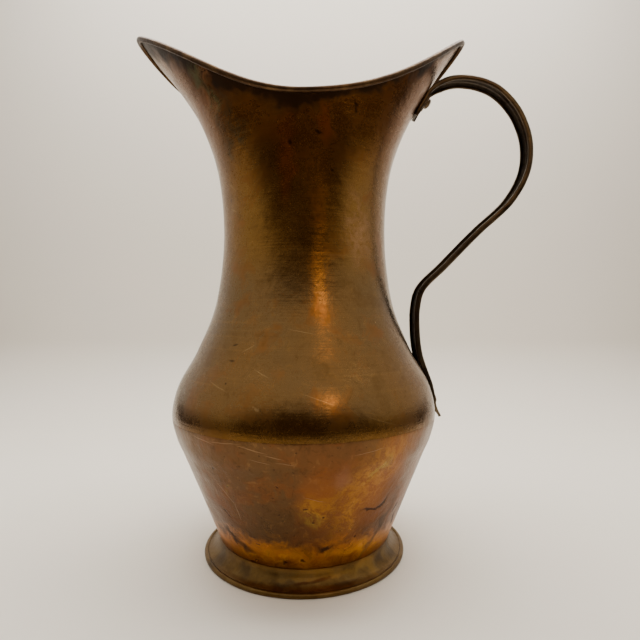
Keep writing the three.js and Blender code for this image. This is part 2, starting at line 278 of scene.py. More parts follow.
def mesh_object(name, points, faces, materials, face_materials=None, axis_x=AXIS_X, sharp=50):
    """A smooth-shaded object from points in millimetres around the vessel's axis."""
    mesh = bpy.data.meshes.new(name)
    mesh.from_pydata([((p[0] + axis_x) * MM, p[1] * MM, p[2] * MM) for p in points], [], faces)
    for material in materials:
        mesh.materials.append(material)
    if face_materials:
        mesh.polygons.foreach_set("material_index", face_materials)
    mesh.polygons.foreach_set("use_smooth", [True] * len(mesh.polygons))
    mesh.set_sharp_from_angle(angle=math.radians(sharp))
    mesh.update()
    piece = bpy.data.objects.new(name, mesh)
    bpy.context.scene.collection.objects.link(piece)
    return piece


def stands_for(piece, node):
    """Hangs a piece from the root and hides the CAD node that it replaces. Nothing moves."""
    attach(piece, "root")
    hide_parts(node)


def ring(name, section_at, materials, parts=None, around=AROUND, sharp=50, closed=True):
    """A ring from a closed section that changes with the angle, or a solid with flat ends from an open
    one. The section is anticlockwise seen with the radius to the right. parts gives the material
    index of each of its edges."""
    points = []
    for i in range(around):
        points.extend(section_at(2 * math.pi * i / around))
    count = len(points) // around
    faces = []
    for i in range(around):
        a, b = i * count, ((i + 1) % around) * count
        for j in range(count if closed else count - 1):
            k = (j + 1) % count
            faces.append((a + j, b + j, b + k, a + k))
    if not closed:
        faces.append(tuple(i * count for i in reversed(range(around))))
        faces.append(tuple(i * count + count - 1 for i in range(around)))
    return mesh_object(name, points, faces, materials, parts and parts * around, sharp=sharp)


def disc(name, outline_at, shares, materials):
    """A closed disc. outline_at(angle, share, side) gives a point at a share of the radius."""
    points = [outline_at(0, 0, 0), outline_at(0, 0, 1)]
    for side in (0, 1):
        for share in shares:
            points.extend(outline_at(2 * math.pi * i / AROUND, share, side) for i in range(AROUND))
    faces = []
    loops = len(shares)

    def index(side, loop, i):
        return 2 + (side * loops + loop) * AROUND + i % AROUND

    for i in range(AROUND):
        faces.append((0, index(0, 0, i + 1), index(0, 0, i)))
        faces.append((1, index(1, 0, i), index(1, 0, i + 1)))
        for loop in range(loops - 1):
            corners = [(loop, i), (loop, i + 1), (loop + 1, i + 1), (loop + 1, i)]
            faces.append(tuple(index(0, *corner) for corner in corners))
            faces.append(tuple(index(1, *corners[j]) for j in (0, 3, 2, 1)))
        edge = loops - 1
        faces.append((index(0, edge, i), index(0, edge, i + 1), index(1, edge, i + 1), index(1, edge, i)))
    return mesh_object(name, points, faces, materials)


# ---- Materials ----

NARROW_MARK = 1.3  # marks thinner than this are scratches, which are nearly straight
MARK_REACH = 6  # how far a mark reaches into the surface, so that dents don't cut it off


class Nodes:
    """Builds the nodes of a material or world. Values are numbers, colours or other nodes' outputs."""

    def __init__(self, owner):
        owner.use_nodes = True
        self.tree = owner.node_tree

    def node(self, kind, inputs=(), **settings):
        made = self.tree.nodes.new(kind)
        for key, value in settings.items():
            setattr(made, key, value)
        for key, value in dict(inputs).items():
            self.feed(made.inputs[key], value)
        return made

    def feed(self, socket, value):
        if isinstance(value, bpy.types.NodeSocket):
            self.tree.links.new(value, socket)
        elif socket.type == "RGBA" and len(value) == 3:
            socket.default_value = (*value, 1)
        else:
            socket.default_value = value

    def calc(self, operation, a, b=0.0):
        return self.node("ShaderNodeMath", {0: a, 1: b}, operation=operation).outputs[0]

    def times(self, a, b):
        return self.calc("MULTIPLY", a, b)

    def plus(self, a, b):
        return self.calc("ADD", a, b)

    def minus(self, a, b):
        return self.calc("SUBTRACT", a, b)

    def vector(self, operation, a, b=(0, 0, 0)):
        made = self.node("ShaderNodeVectorMath", {0: a, 1: b}, operation=operation)
        return made.outputs["Value" if operation == "LENGTH" else "Vector"]

    def between(self, value, low, high, to_low=0.0, to_high=1.0, step="SMOOTHSTEP"):
        """Smooth step from to_low to to_high as a value goes from low to high."""
        made = self.node("ShaderNodeMapRange", {
            "Value": value, "From Min": low, "From Max": high, "To Min": to_low, "To Max": to_high,
        }, interpolation_type=step)
        return made.outputs["Result"]

    def fade(self, value, low, high):
        """Smooth step down from 1 to 0."""
        return self.between(value, low, high, 1.0, 0.0)

    def mix(self, share, a, b):
        return self.node("ShaderNodeMix", {"Factor": share, 6: a, 7: b}, data_type="RGBA").outputs[2]

    def axes(self, vector):
        made = self.node("ShaderNodeSeparateXYZ", {0: vector})
        return [made.outputs[axis] for axis in "XYZ"]

    def ramp(self, value, stops):
        made = self.node("ShaderNodeValToRGB", {"Fac": value})
        elements = made.color_ramp.elements
        while len(elements) < len(stops):
            elements.new(0.5)
        for element, (place, colour) in zip(elements, stops):
            element.position = place
            element.color = (*colour, 1)
        return made.outputs["Color"]


class Surface(Nodes):
    """Builds a metal material."""

    def __init__(self, name):
        self.material = bpy.data.materials.new(name)
        super().__init__(self.material)
        self.shader = self.tree.nodes["Principled BSDF"]
        self.position = self.place()
        self.warp_wide = self.warped(9, 0.07)
        self.warp_fine = self.warped(1.6, 0.35, self.warp_wide)
        self.warp_line = self.warped(0.6, 0.12)

    def place(self):
        """Position in millimetres from the foot of the vessel's axis."""
        made = self.node("ShaderNodeTexCoord")
        scaled = self.vector("MULTIPLY", made.outputs["Object"], (1 / MM,) * 3)
        return self.vector("ADD", scaled, (-AXIS_X, 0, 0))

    def noise(self, scale, detail=3.0, roughness=0.55, at=None, stretch=None, colour=False):
        """Noise from about 0 to 1. scale is in features per millimetre; stretch scales each axis."""
        at = at or self.position
        if stretch:
            at = self.vector("MULTIPLY", at, stretch)
        made = self.node("ShaderNodeTexNoise", {
            "Vector": at, "Scale": scale, "Detail": detail, "Roughness": roughness})
        return made.outputs["Color" if colour else "Fac"]

    def cloud(self, *size):
        """Noise with a scale, detail and roughness, along places that are pushed about."""
        return self.noise(*size, at=self.warp_wide)

    def shift(self, value, cloud, most):
        """A value moved up and down by a cloud, by up to half of most each way."""
        return self.plus(value, self.times(self.minus(cloud, 0.5), most))

    def warped(self, size, scale, at=None):
        """Position pushed about by noise, so that marks get uneven edges."""
        push = self.vector("SUBTRACT", self.noise(scale, 2.0, at=at, colour=True), (0.5, 0.5, 0.5))
        return self.vector("ADD", at or self.position, self.vector("MULTIPLY", push, (2 * size,) * 3))

    def stain(self, mask, strength, colour):
        """Lays a colour over the surface's colour where a mask is 1."""
        self.colour = self.mix(self.times(mask, strength), self.colour, colour)

    def height(self):
        return self.axes(self.position)[2]

    def patch(self, centre, along, sizes, edge, at):
        """Soft-edged ellipse on the surface: 1 inside, 0 outside. along is its long direction."""
        out = Vector((centre.x, centre.y, 0)).normalized()
        across = out.cross(along).normalized()
        out = along.cross(across).normalized()
        turn = Matrix((along, across, out)).transposed().to_euler("XYZ")
        made = self.node("ShaderNodeMapping", {
            "Vector": at, "Location": centre, "Rotation": turn, "Scale": sizes}, vector_type="TEXTURE")
        return self.fade(self.vector("LENGTH", made.outputs["Vector"]), 1 - edge, 1 + edge)

    def warp_for(self, width, fine):
        """Narrow marks are the straightest, and fine says whether a wide one has a finely uneven edge."""
        if width < NARROW_MARK:
            return self.warp_line
        return self.warp_fine if fine else self.warp_wide

    def streak(self, angle, z, end_angle, end_z, width, edge=0.5, fine=True):
        """A mark from one angle and height to another, as wide as given."""
        a, b = surface_point(angle, z), surface_point(end_angle, end_z)
        along = b - a
        half = along.length / 2
        sizes = (half, width / 2, max(MARK_REACH, half * 0.5))
        return self.patch((a + b) / 2, along.normalized(), sizes, edge, self.warp_for(width, fine))

    def spot(self, angle, z, length, width, edge=0.5, fine=True):
        """A mark centred on an angle and height, with its length upwards and its width around."""
        sizes = (length / 2, width / 2, max(length / 2, width / 2, MARK_REACH))
        return self.patch(surface_point(angle, z), Vector((0, 0, 1)), sizes, edge, self.warp_for(width, fine))

    def marks(self, streaks=(), spots=()):
        """Several marks as one mask, from rows with the inputs of streak and of spot."""
        return self.most([self.streak(*row) for row in streaks] + [self.spot(*row) for row in spots])

    def stain_from(self, value, low, high, strength, colour):
        """Stains where a value is past high, fading in from low. High may be the smaller one."""
        self.stain(self.between(value, low, high), strength, colour)

    def below_rim(self):
        """How far below the rim a place is, from the rim's formula, and its x."""
        x, y, z = self.axes(self.position)
        flat = self.node("ShaderNodeCombineXYZ", {"X": x, "Y": y}).outputs[0]
        sine = self.calc("DIVIDE", y, self.vector("LENGTH", flat))
        squared = self.plus(self.times(sine, sine), TIP_ROUND**2)
        soft = self.minus(self.calc("SQRT", squared), TIP_ROUND)
        side = self.calc("DIVIDE", soft, math.hypot(1, TIP_ROUND) - TIP_ROUND)
        up = self.minus(1.0, side)
        spout = self.times(self.times(up, side), SPOUT_BULGE)
        back = self.times(side, -BACK_SAG)
        at_back = self.calc("GREATER_THAN", x, 0.0)
        shape = self.plus(self.times(back, at_back), self.times(spout, self.minus(1.0, at_back)))
        climb = self.times(self.times(up, RIM_CLIMB), self.plus(shape, 1.0))
        return self.minus(self.plus(climb, RIM_LOW), z), x

    def most(self, masks):
        result = masks[0]
        for mask in masks[1:]:
            result = self.calc("MAXIMUM", result, mask)
        return result

    def relief(self, *layers):
        """A bumpy normal from layers of (height from 0 to 1, millimetres for a height of 1)."""
        below = {}
        for height, distance in layers:
            inputs = {"Height": height, "Distance": distance * MM, "Strength": 1.0, **below}
            below = {"Normal": self.node("ShaderNodeBump", inputs).outputs["Normal"]}
        return below["Normal"]

    def tangent(self):
        """Upright tangent, across the marks that turning leaves."""
        normal = self.node("ShaderNodeNewGeometry").outputs["Normal"]
        level = self.vector("CROSS_PRODUCT", (0, 0, 1), normal)
        return self.vector("NORMALIZE", self.vector("CROSS_PRODUCT", normal, level))

    def finish(self, roughness, normal, metallic=1.0, **constants):
        self.feed(self.shader.inputs["Base Color"], self.colour)
        self.feed(self.shader.inputs["Roughness"], roughness)
        self.feed(self.shader.inputs["Metallic"], metallic)
        self.feed(self.shader.inputs["Normal"], normal)
        for key, value in constants.items():
            self.feed(self.shader.inputs[key.replace("_", " ").title()], value)
        return self.material


def surface_point(angle, z):
    """The point on the vessel at an angle in degrees and a height, foot included."""
    radians = math.radians(angle)
    if z < CONE_BOTTOM_Z:
        share = max(z, 0) / CONE_BOTTOM_Z
        radius = CONE_BOTTOM_RADIUS + (FOOT_RADIUS - CONE_BOTTOM_RADIUS) * (1 - share) ** 2
        return on_cylinder(radians, z, radius)
    return level_point(radians, z, 0)


GOLDEN = (0.178, 0.094, 0.031)
OLIVE = (0.150, 0.092, 0.039)


def upper_brass():
    """Golden-brown aged brass with turning lines, olive tarnish, black patina under the rim, and a painted
    dark reflection just above the seam.
    """
    s = Surface("aged_brass")
    broad = s.cloud(0.012, 3.0, 0.5)
    cloud = s.cloud(0.045, 5.0, 0.62)
    small = s.cloud(0.17, 5.0, 0.65)
    grain = s.noise(0.55, 5.0, 0.7)
    lines = s.noise(1.0, 4.0, 0.65, stretch=(0.012, 0.012, 0.9))
    fine_lines = s.noise(1.0, 3.0, 0.65, stretch=(0.025, 0.025, 3.2))
    z = s.height()
    s.colour = s.mix(s.between(broad, 0.36, 0.64), GOLDEN, OLIVE)
    middle = s.between(z, 165, 205)
    s.stain(middle, 0.6, (0.205, 0.098, 0.017))
    high = s.between(z, 215, 285)
    s.stain(high, 0.75, (0.185, 0.068, 0.012))
    s.stain_from(cloud, 0.5, 0.7, 0.55, (0.21, 0.075, 0.014))
    s.stain_from(cloud, 0.46, 0.3, 0.55, (0.115, 0.058, 0.016))
    s.stain_from(small, 0.52, 0.72, 0.36, (0.095, 0.046, 0.013))
    s.stain_from(small, 0.45, 0.3, 0.25, (0.27, 0.14, 0.04))
    s.stain_from(grain, 0.5, 0.75, 0.28, (0.08, 0.038, 0.010))
    s.stain_from(lines, 0.54, 0.75, 0.3, (0.28, 0.155, 0.05))
    s.stain_from(fine_lines, 0.54, 0.7, 0.25, (0.08, 0.04, 0.012))

    # Black patina trapped under the rolled rim, deepest on the spout side.
    below, x = s.below_rim()
    reach = s.between(x, -75, 15, 19.0, 10.0)
    ragged = s.cloud(0.075, 2.5, 0.5)
    uneven = s.shift(below, ragged, 24)
    trapped = s.fade(s.calc("DIVIDE", uneven, reach), 0.3, 1.0)
    s.stain(trapped, 0.93, (0.020, 0.011, 0.006))

    # Iridescent tarnish on the flare, and its grey-green runs.
    broken = s.between(small, 0.36, 0.58)
    green = s.marks(spots=[(-144, 297, 14, 14, 0.8, False), (-141, 286, 16, 9, 0.8)])
    s.stain(s.times(green, broken), 0.75, (0.17, 0.18, 0.08))
    bright = s.marks(spots=[(-138, 296, 8, 7, 0.8), (-146, 290, 8, 6, 0.8), (-142, 282, 6, 5, 0.8)])
    s.stain(s.times(bright, broken), 0.7, (0.40, 0.16, 0.06))
    runs = s.marks(streaks=[(-134, 282, -124, 258, 9, 0.8), (-142, 278, -134, 252, 6, 0.8)])
    s.stain(s.times(runs, broken), 0.6, (0.075, 0.07, 0.036))

    # Red-orange wear on the upper neck, a peach patch lower on the right, and dark smudges.
    warm = s.marks(streaks=[(-98, 264, -99, 226, 9, 0.9), (-80, 272, -77, 258, 6, 0.9)])
    s.stain(warm, 0.55, (0.34, 0.09, 0.015))
    peach = s.spot(-52, 208, 34, 16, 0.9, False)
    s.stain(s.times(peach, broken), 0.5, (0.34, 0.18, 0.09))
    smudges = s.marks(spots=[
        (-112, 246, 30, 22, 0.9, False), (-66, 250, 34, 18, 0.9, False), (-140, 262, 24, 16, 0.9, False),
        (-84, 205, 40, 18, 0.9, False),
    ])
    s.stain(smudges, 0.5, (0.06, 0.028, 0.008))

    # Pale scratches and small dark nicks.
    pale = s.marks(streaks=[
        (-152, 242, -147, 238, 0.5), (-146, 240, -138, 234, 0.4), (-146, 224, -138, 221, 0.5),
        (-109, 128, -103, 124, 0.4), (-88, 116, -78, 111, 0.35), (-66, 104, -52, 97, 0.4),
        (-118, 137, -112, 141, 0.35), (-96, 150, -84, 147, 0.3), (-130, 120, -120, 116, 0.35),
    ], spots=[
        (-106, 106, 1.4, 1.4),
    ])
    s.stain(pale, 0.42, (0.42, 0.27, 0.12))
    nicks = s.marks(streaks=[
        (-85, 262, -80, 260, 1.4), (-125, 140, -122, 141, 0.8), (-124, 132, -121, 132, 0.8),
    ], spots=[
        (-95, 256, 4, 3), (-146, 227, 2.4, 2), (-121, 120, 1.2, 1.0), (-70, 242, 2, 1.4), (-60, 276, 3, 2),
    ])
    s.stain(nicks, 0.75, (0.02, 0.011, 0.006))
    # Painted dark reflection: a dark band just above the seam, where the shoulder turns to face up and
    # reflects the dark room.
    painted_dark_reflection_above_seam = s.fade(z, SEAM_Z + 5, SEAM_Z + 18)
    s.stain(painted_dark_reflection_above_seam, 0.75, (0.10, 0.046, 0.008))

    roughness = s.between(cloud, 0.3, 0.75, 0.21, 0.31)
    roughness = s.plus(roughness, s.times(s.between(grain, 0.45, 0.75), 0.1))
    roughness = s.plus(roughness, s.times(trapped, 0.2))
    turning = s.plus(s.times(lines, 0.7), s.times(fine_lines, 0.3))
    normal = s.relief((turning, 0.075), (s.noise(0.16, 3.0, 0.5), 0.2), (grain, 0.03))
    return s.finish(roughness, normal, anisotropic=0.16, tangent=s.tangent())


def inside_tarnish():
    """Dull dark tarnish with a few paler wear marks, for the inside of the vessel."""
    s = Surface("inside_tarnish")
    cloud = s.cloud(0.05, 5.0, 0.6)
    grain = s.noise(0.7, 4.0, 0.6)
    s.colour = s.ramp(cloud, [
        (0.3, (0.06, 0.032, 0.013)), (0.5, (0.10, 0.055, 0.02)),
        (0.66, (0.15, 0.08, 0.03)), (0.8, (0.08, 0.068, 0.032)),
    ])
    s.stain_from(grain, 0.5, 0.8, 0.4, (0.035, 0.022, 0.013))
    roughness = s.between(cloud, 0.3, 0.7, 0.5, 0.68)
    normal = s.relief((s.noise(1.0, 3.0, 0.6, stretch=(0.02, 0.02, 0.9)), 0.06), (grain, 0.06))
    return s.finish(roughness, normal)


def rim_brass():
    """Dark brown brass of the rolled rim, paler in patches."""
    s = Surface("rim_brass")
    cloud = s.cloud(0.09, 4.0, 0.6)
    grain = s.noise(0.9, 4.0, 0.6)
    s.colour = s.ramp(cloud, [
        (0.34, (0.04, 0.022, 0.011)), (0.52, (0.07, 0.038, 0.018)), (0.7, (0.12, 0.07, 0.03)),
    ])
    s.stain_from(grain, 0.5, 0.75, 0.35, (0.03, 0.018, 0.01))
    roughness = s.between(grain, 0.3, 0.7, 0.34, 0.5)
    return s.finish(roughness, s.relief((s.noise(0.3, 3.0, 0.6), 0.25), (grain, 0.05)))


LOW_ORANGE = (0.54, 0.20, 0.028)


def heated_copper():
    """Pinkish-brown copper with heat colours, gold patches, solder streaks, dark spots, and a painted
    reflection of the lit floor low on its front.
    """
    s = Surface("heated_copper")
    broad = s.cloud(0.016, 3.0, 0.55)
    cloud = s.cloud(0.055, 5.0, 0.62)
    small = s.cloud(0.2, 5.0, 0.68)
    grain = s.noise(0.9, 5.0, 0.7)
    specks = s.noise(0.5, 2.0, 0.5)
    broken = s.between(small, 0.36, 0.58)
    s.colour = s.mix(s.between(broad, 0.35, 0.65), (0.104, 0.058, 0.025), (0.112, 0.050, 0.019))
    s.stain_from(cloud, 0.48, 0.66, 0.6, (0.165, 0.058, 0.017))
    s.stain_from(cloud, 0.44, 0.3, 0.6, (0.085, 0.048, 0.02))
    s.stain_from(small, 0.52, 0.7, 0.6, (0.062, 0.03, 0.011))
    s.stain_from(small, 0.44, 0.3, 0.4, (0.24, 0.12, 0.045))
    s.stain_from(grain, 0.52, 0.75, 0.4, (0.06, 0.03, 0.012))
    s.stain_from(specks, 0.68, 0.74, 0.7, (0.03, 0.017, 0.01))

    z = s.height()
    # Orange heat band just above the foot. Its colour is made brighter as a painted reflection of the lit
    # floor, and its bright streaks across the front are painted reflection only.
    low = s.shift(z, cloud, 26)
    low = s.shift(low, small, 22)
    low_band = s.fade(low, 17, 34)
    s.stain(low_band, 0.9, LOW_ORANGE)
    soot = s.times(s.between(small, 0.54, 0.64), s.fade(z, 20, 34))
    s.stain(soot, 0.6, (0.12, 0.042, 0.008))
    # Painted reflection: bright orange streaks across the front of the cone, standing in for the lit floor
    # that it reflects.
    painted_floor_reflection_band = s.marks(streaks=[(-122, 16, -64, 16, 13, 0.8, False), (-74, 17, -36, 22, 12, 0.8, False)])
    s.stain(s.times(painted_floor_reflection_band, broken), 0.85, (0.80, 0.37, 0.04))

    # Diagonal gold patch with orange edges.
    edge = s.marks(streaks=[(-76, 34, -47, 88, 32, 0.9, False)], spots=[(-82, 62, 30, 20, 0.9, False)])
    s.stain(edge, 0.5, (0.28, 0.09, 0.02))
    gold = s.marks(streaks=[
        (-72, 54, -50, 88, 22, 0.95, False), (-72, 36, -64, 60, 14, 0.95, False),
    ], spots=[
        (-82, 52, 14, 18, 0.95, False),
    ])
    fleck = s.between(s.plus(s.times(small, 0.6), s.times(grain, 0.4)), 0.4, 0.6)
    s.stain(s.times(gold, fleck), 0.85, (0.36, 0.17, 0.032))
    lime = s.marks(streaks=[
        (-64, 66, -54, 82, 5, 0.9),
    ], spots=[
        (-84, 47, 7, 10, 0.9), (-120, 62, 4, 4, 0.9),
    ])
    s.stain(s.times(lime, broken), 0.5, (0.24, 0.19, 0.04))
    rosy = s.marks(streaks=[
        (-160, 80, -150, 30, 16, 0.8, False),
    ], spots=[
        (-30, 60, 60, 16, 0.8, False), (-74, 70, 14, 9, 0.8), (-150, 70, 12, 12, 0.8),
    ])
    s.stain(rosy, 0.4, (0.24, 0.11, 0.065))

    # Grey solder streak, dark brown spots and nicks.
    solder = s.marks(streaks=[(-40, 48, -56, 10, 4.2, 0.8), (-43, 44, -50, 24, 2, 0.7)])
    s.stain(solder, 0.7, (0.085, 0.056, 0.038))
    dark = s.marks(streaks=[
        (-57, 47, -46, 53, 2.2), (-60, 46, -55, 47, 2.4), (-134, 29, -121, 20, 5, 0.7),
        (-133, 46, -124, 40, 1.6),
    ], spots=[
        (-77, 26, 3.6, 9, 0.6), (-87, 52, 1.2, 3), (-34, 42, 5, 3), (-91, 17, 3, 4), (-98, 16, 2.4, 3),
        (-113, 27, 1.6, 2), (-80, 47, 1.2, 1.2), (-83, 46, 1.2, 1.4), (-62, 31, 1.6, 1.2),
        (-30, 32, 9, 3, 0.6), (-100, 66, 2, 1.6), (-128, 74, 2.4, 1.6),
    ])
    s.stain(dark, 0.85, (0.018, 0.011, 0.009))
    joint = s.fade(s.plus(z, s.times(cloud, 2)), CONE_BOTTOM_Z + 1.2, CONE_BOTTOM_Z + 2.6)
    s.stain(joint, 0.6, (0.09, 0.03, 0.008))
    pale = s.marks(streaks=[
        (-128, 64, -121, 52, 0.4), (-121, 52, -120, 42, 0.4), (-134, 90, -124, 88, 0.4),
        (-124, 89, -112, 90, 0.4), (-112, 89, -102, 86, 0.5), (-102, 85, -96, 83, 0.5),
        (-98, 81, -92, 80, 0.4), (-108, 82, -101, 80, 0.4), (-70, 84, -58, 86, 0.4),
        (-88, 60, -80, 57, 0.35),
    ])
    s.stain(pale, 0.42, (0.34, 0.20, 0.10))

    roughness = s.between(cloud, 0.3, 0.75, 0.27, 0.42)
    roughness = s.plus(roughness, s.times(s.most([solder, dark]), 0.15))
    pitted = s.minus(s.times(grain, 0.8), s.most([dark, pale]))
    return s.finish(roughness, s.relief((s.noise(0.12, 3.0, 0.5), 0.4), (small, 0.16), (pitted, 0.07)))


def foot_brass():
    """Olive-brown brass of the foot, with dark blotches, brown cracks and a painted highlight on the front of
    the skirt.
    """
    s = Surface("foot_brass")
    cloud = s.cloud(0.07, 5.0, 0.6)
    grain = s.noise(0.8, 5.0, 0.7)
    s.colour = s.ramp(cloud, [
        (0.32, (0.07, 0.037, 0.011)), (0.48, (0.11, 0.062, 0.019)),
        (0.62, (0.135, 0.083, 0.029)), (0.78, (0.085, 0.064, 0.026)),
    ])
    s.stain_from(grain, 0.48, 0.75, 0.4, (0.045, 0.028, 0.012))
    z = s.height()
    # The cone's orange heat colour runs down over the top of the skirt, with a painted highlight across its
    # front.
    wavy = s.shift(z, cloud, 9)
    s.stain_from(wavy, 9.0, 12.0, 0.3, (0.20, 0.085, 0.016))
    # Painted highlight: a pale orange patch across the front of the skirt's top.
    painted_skirt_highlight = s.marks(streaks=[(-92, 8.5, -60, 8.5, 4.5, 0.8)], spots=[(-50, 8, 5, 16, 0.8)])
    s.stain(painted_skirt_highlight, 0.3, (0.36, 0.18, 0.03))
    dark = s.marks(streaks=[
        (-74, 3.5, -60, 3.5, 1.25, 0.7),
    ], spots=[
        (-150, 4.5, 10, 14, 0.7), (-22, 6, 9, 8, 0.7), (-100, 5, 4, 16, 0.7), (-125, 8, 5, 10, 0.7),
        (-35, 7, 4, 9, 0.7),
    ])
    s.stain(dark, 0.6, (0.035, 0.022, 0.013))
    crack = s.marks(streaks=[(-94, 4.6, -84, 5.4, 1.1, 0.6), (-86, 5.2, -74, 6.6, 1.2, 0.6)])
    s.stain(crack, 0.8, (0.05, 0.016, 0.005))
    roughness = s.between(cloud, 0.3, 0.75, 0.34, 0.48)
    normal = s.relief((s.noise(0.2, 3.0, 0.5), 0.25), (s.minus(grain, crack), 0.06))
    return s.finish(roughness, normal)


def handle_metal():
    """Almost black handle metal, browner in patches."""
    s = Surface("handle_metal")
    cloud = s.cloud(0.06, 4.0, 0.6)
    grain = s.noise(0.9, 4.0, 0.6)
    s.colour = s.ramp(cloud, [
        (0.34, (0.035, 0.025, 0.018)), (0.55, (0.07, 0.05, 0.03)), (0.74, (0.14, 0.10, 0.055)),
    ])
    s.stain_from(grain, 0.5, 0.75, 0.5, (0.03, 0.022, 0.018))
    roughness = s.between(cloud, 0.3, 0.7, 0.26, 0.42)
    return s.finish(roughness, s.relief((s.noise(0.25, 3.0, 0.5), 0.3), (grain, 0.06)))


def handle_hollow_painted_reflection():
    """The handle's metal in its hollow, painted a paler grey as a painted reflection of the bright backdrop,
    and duller.
    """
    s = Surface("handle_hollow_painted_reflection")
    cloud = s.cloud(0.07, 4.0, 0.6)
    grain = s.noise(0.9, 4.0, 0.6)
    # Painted reflection: paler grey than the outside, standing in for the bright backdrop seen in the hollow.
    s.colour = s.ramp(cloud, [
        (0.34, (0.09, 0.072, 0.056)), (0.55, (0.16, 0.135, 0.11)), (0.74, (0.21, 0.165, 0.11)),
    ])
    s.stain_from(grain, 0.5, 0.75, 0.5, (0.04, 0.03, 0.022))
    return s.finish(s.between(cloud, 0.3, 0.7, 0.42, 0.58), s.relief((grain, 0.08)))


def simple_metal(name, scale, detail, stops, roughness, bump, metallic=1.0):
    """Metal whose colour, roughness and bumps all follow one noise."""
    s = Surface(name)
    cloud = s.noise(scale, detail, 0.6)
    s.colour = s.ramp(cloud, stops)
    return s.finish(s.between(cloud, 0.3, 0.7, *roughness), s.relief((cloud, bump)), metallic)


def hammered_rivet():
    """Dark hammered brass of the rivets, rove and burrs."""
    stops = [(0.35, (0.05, 0.035, 0.024)), (0.6, (0.14, 0.095, 0.055)), (0.8, (0.22, 0.16, 0.1))]
    return simple_metal("hammered_rivet", 0.35, 4.0, stops, (0.3, 0.5), 0.4)


def grey_solder():
    """Lumpy tarnished solder and braze."""
    stops = [(0.35, (0.13, 0.115, 0.1)), (0.6, (0.3, 0.28, 0.25)), (0.8, (0.42, 0.38, 0.3))]
    return simple_metal("grey_solder", 0.25, 5.0, stops, (0.4, 0.62), 0.5)


def iron_wire():
    """Rusty iron wire inside the rolled edges."""
    stops = [(0.4, (0.06, 0.05, 0.045)), (0.65, (0.16, 0.075, 0.04))]
    return simple_metal("iron_wire", 0.5, 4.0, stops, (0.5, 0.8), 0.3, metallic=0.7)


BRASS = upper_brass()
INSIDE = inside_tarnish()
RIM = rim_brass()
COPPER = heated_copper()
FOOT = foot_brass()
HANDLE = handle_metal()
HANDLE_HOLLOW_PAINTED_REFLECTION = handle_hollow_painted_reflection()
RIVET = hammered_rivet()
SOLDER = grey_solder()
IRON = iron_wire()


# ---- Vessel pieces ----

SEAM_WANDER = 0.12
FOOT_RIPPLE = 0.12


def seam_height(angle):
    """Height of the seam, which wanders a little because its edges were cut by hand."""
    return SEAM_Z - SEAM_WANDER + SEAM_WANDER * noise.noise(on_cylinder(angle, SEAM_Z) * 0.09)


def upper_body():
    bottom = SEAM_Z + GAP
    straight = spaced(bottom, FLARE_START, WALL_STEP)
    inner_roll = arc((RIM_BEAD - SHEET, 0), RIM_BEAD - SHEET, 180, RIM_ROLL_END, 14)
    outer_roll = arc((RIM_BEAD - SHEET, 0), RIM_BEAD, RIM_ROLL_END, 180, 20)

    def section(angle):
        top = rim_height(angle)
        fan = [FLARE_START + (top - FLARE_START) * i / FLARE_ROWS for i in range(1, FLARE_ROWS)]
        heights = straight + fan
        # The hem was rolled by hand, so its size and the height of its free edge wander a little.
        tip = TIP_SWELL * math.exp(-(math.sin(angle) / TIP_WIDTH) ** 2)
        swell = 0.95 - 0.05 * noise.noise(on_cylinder(angle, 0) * 0.06) + tip
        # Where it swells, it moves in and down by this much for each share that it swells by.
        inset, drop = 2 * RIM_BEAD, 2.5 * RIM_BEAD
        roll = [(o * swell - inset * tip, u * swell - drop * tip) for o, u in inner_roll + outer_roll]
        edge = seam_height(angle) + TOUCHING
        outside = [level_point(angle, edge, 0)] + [wall_point(angle, z, 0) for z in heights[1:]]
        inside = [wall_point(angle, z, -SHEET) for z in heights[1::2]]
        inside.reverse()
        lip = [
            wall_point(angle, bottom + 2, -SHEET), wall_point(angle, bottom - SHEET, -LIP_STEP - SHEET),
            level_point(angle, LIP_BOTTOM, -LIP_STEP - SHEET), level_point(angle, LIP_BOTTOM, -LIP_STEP),
            level_point(angle, edge, -LIP_STEP),
        ]
        return outside + beside_rim(angle, roll) + inside + lip

    rows = len(straight) + FLARE_ROWS - 1
    hem = len(inner_roll) + len(outer_roll)
    inside_rows = len(range(1, rows, 2))
    parts = [0] * (rows - 1) + [1] * (hem + 1) + [2] * (inside_rows + 4)
    parts += [0] * (rows + hem + inside_rows + 5 - len(parts))
    piece = ring("upper_body_fine", section, [BRASS, RIM, INSIDE], parts)
    stands_for(piece, "upper_body")


def lower_body():
    heights = spaced(CONE_BOTTOM_Z, SEAM_Z, WALL_STEP)

    def section(angle):
        outside = [level_point(angle, z, 0) for z in heights[:-1]]
        top = seam_height(angle)
        rounded = [(top - 0.3, 0), (top, -0.06), (top, -SHEET)]
        edge = [level_point(angle, z, distance) for z, distance in rounded]
        inside = [level_point(angle, z, -SHEET) for z in reversed(heights[:-1:2])]
        return outside + edge + inside

    rows = len(heights) - 1
    inside_rows = len(heights[:-1:2])
    parts = [0] * (rows + 2) + [1] * (inside_rows + 1)
    piece = ring("lower_body_fine", section, [COPPER, INSIDE], parts)
    stands_for(piece, "lower_body")


